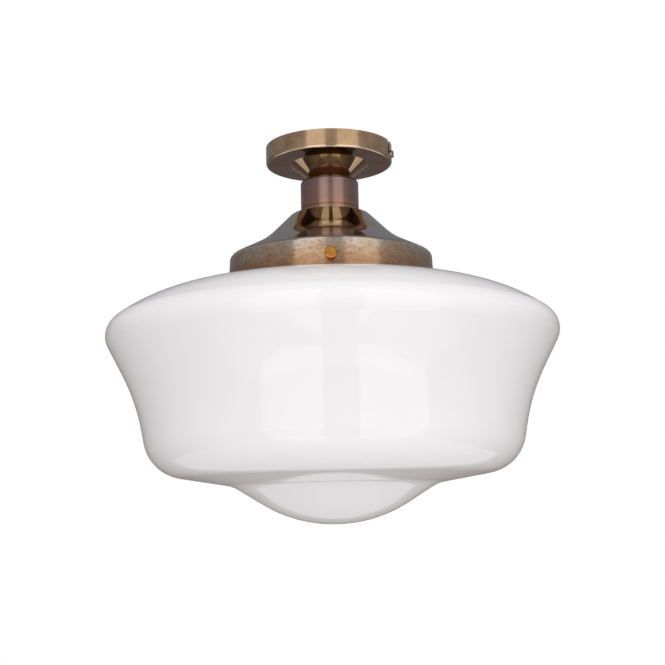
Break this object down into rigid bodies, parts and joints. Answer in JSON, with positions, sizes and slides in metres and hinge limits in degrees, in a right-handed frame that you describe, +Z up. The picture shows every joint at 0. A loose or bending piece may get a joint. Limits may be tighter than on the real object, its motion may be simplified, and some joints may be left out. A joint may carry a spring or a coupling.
{
  "type": "semi flush ceiling light",
  "caption": "Semi flush ceiling light: opal schoolhouse glass held by thumb screws in a spun brass gallery, on a short neck and conical hub under a round bayonet ceiling rose.",
  "frame": {"origin": "centre of the ceiling bracket's upper face, in the plane of the ceiling, on the axis of the light", "axes": "+Z up out of the light into the ceiling, along the axis of the light; -Y is the side seen from the front in the picture; +X is to the right"},
  "size_m": [0.3487, 0.3488, 0.2967],
  "materials": {
    "antique_brass": "spun brass with an antique copper-brown lacquer, satin",
    "antique_copper": "turned, pinkish antique copper plating, satin",
    "polished_brass": "turned brass, bright",
    "zinc_steel": "zinc plated pressed steel",
    "steel_screw": "nickel plated steel",
    "opal_glass": "blown opal glass, glossy, opaque white",
    "phenolic": "moulded phenolic, black",
    "porcelain": "unglazed porcelain, opaque",
    "contact_brass": "bare sheet brass",
    "terminal_plastic": "moulded polyamide",
    "lead_brown": "insulated lead, brown",
    "lead_blue": "insulated lead, blue"
  },
  "bodies": {
    "bracket": {"ceiling_bracket": "zinc_steel", "clinch_nut": "zinc_steel", "bayonet_peg": "zinc_steel", "earth_washer": "contact_brass", "earth_screw": "contact_brass"},
    "lock_screw": {"lock_screw": "steel_screw"},
    "fitting": {"ceiling_rose": "antique_brass", "terminal_block": "terminal_plastic", "terminal_screws": "steel_screw", "lead_live": "lead_brown", "lead_neutral": "lead_blue", "upper_washer": "zinc_steel", "upper_locknut": "zinc_steel", "threaded_tube": "zinc_steel", "conical_hub": "antique_brass", "spacer_ring": "antique_brass", "neck_sleeve": "antique_copper", "gallery": "antique_brass", "lower_washer": "zinc_steel", "lower_locknut": "zinc_steel", "thumb_screw_bushes": "contact_brass", "glass_shade": "opal_glass", "lampholder_cap": "phenolic", "lampholder_skirt": "phenolic", "contact_block": "porcelain", "screw_shell": "contact_brass", "centre_contact": "contact_brass"},
    "thumb_screw_front": {"thumb_screw_front": "polished_brass"},
    "thumb_screw_right": {"thumb_screw_right": "polished_brass"},
    "thumb_screw_left": {"thumb_screw_left": "polished_brass"}
  },
  "joints": [
    {"name": "bayonet_twist", "type": "hinge", "parent": "bracket", "child": "fitting", "pos_m": [0, 0, 0], "axis": [0, 0, 1], "range_deg": [0, 6]},
    {"name": "lock_screw_travel", "type": "slide", "parent": "bracket", "child": "lock_screw", "axis": [0.9703, -0.2419, 0], "range_m": [0, 0.003]},
    {"name": "thumb_screw_front_travel", "type": "slide", "parent": "fitting", "child": "thumb_screw_front", "axis": [0, -1, 0], "range_m": [0, 0.006]},
    {"name": "thumb_screw_right_travel", "type": "slide", "parent": "fitting", "child": "thumb_screw_right", "axis": [0.866, 0.5, 0], "range_m": [0, 0.006]},
    {"name": "thumb_screw_left_travel", "type": "slide", "parent": "fitting", "child": "thumb_screw_left", "axis": [-0.866, 0.5, 0], "range_m": [0, 0.006]}
  ]
}
